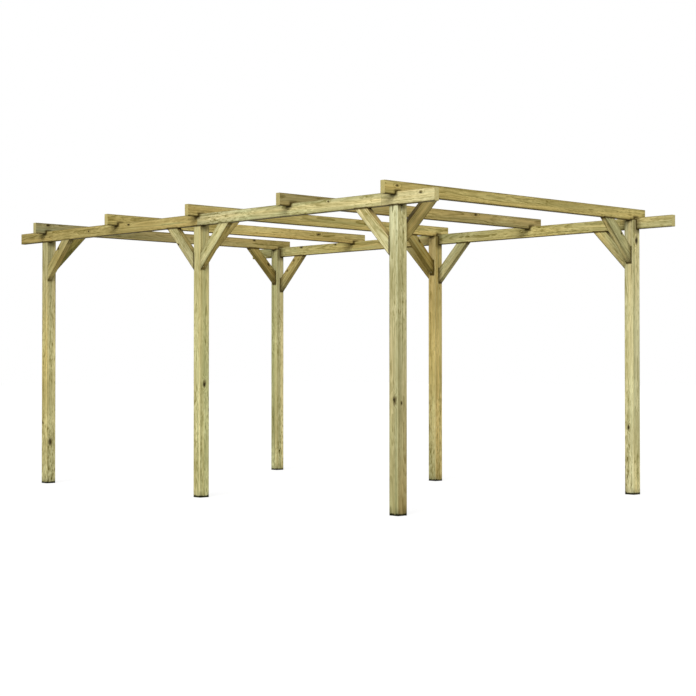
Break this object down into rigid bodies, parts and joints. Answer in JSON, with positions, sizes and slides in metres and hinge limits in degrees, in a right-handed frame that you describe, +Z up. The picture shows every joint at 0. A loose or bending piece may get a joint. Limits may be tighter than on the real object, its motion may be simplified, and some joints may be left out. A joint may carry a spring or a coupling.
{
  "type": "open timber carport frame",
  "caption": "Free-standing open carport frame of square posts, long beams, let-in cross rafters and corner braces, ready for roof sheets.",
  "frame": {"origin": "on the ground, in the middle of the plan", "axes": "+Z up, +Y along the rows of posts towards the back, +X to the right; a car drives in from -Y"},
  "size_m": [3.1, 5.31, 2.385],
  "materials": {
    "post_timber": "planed softwood, pressure treated, pale yellow-green with darker feet",
    "beam_timber": "planed softwood, pressure treated, pale straw",
    "rafter_timber": "planed softwood, pressure treated, light brown",
    "brace_timber": "planed softwood, pressure treated, light brown to green"
  },
  "bodies": {
    "root": {"post_front_left": "post_timber", "post_middle_left": "post_timber", "post_back_left": "post_timber", "post_front_right": "post_timber", "post_middle_right": "post_timber", "post_back_right": "post_timber", "beam_front_left": "beam_timber", "beam_back_left": "beam_timber", "beam_front_right": "beam_timber", "beam_back_right": "beam_timber", "rafter_front": "rafter_timber", "rafter_front_bay": "rafter_timber", "rafter_middle": "rafter_timber", "rafter_back_bay": "rafter_timber", "rafter_back": "rafter_timber", "brace_front_left_backward": "brace_timber", "brace_middle_left_forward": "brace_timber", "brace_middle_left_backward": "brace_timber", "brace_back_left_forward": "brace_timber", "brace_front_right_backward": "brace_timber", "brace_middle_right_forward": "brace_timber", "brace_middle_right_backward": "brace_timber", "brace_back_right_forward": "brace_timber", "brace_front_left_inward": "brace_timber", "brace_middle_left_inward": "brace_timber", "brace_back_left_inward": "brace_timber", "brace_front_right_inward": "brace_timber", "brace_middle_right_inward": "brace_timber", "brace_back_right_inward": "brace_timber"}
  },
  "joints": []
}
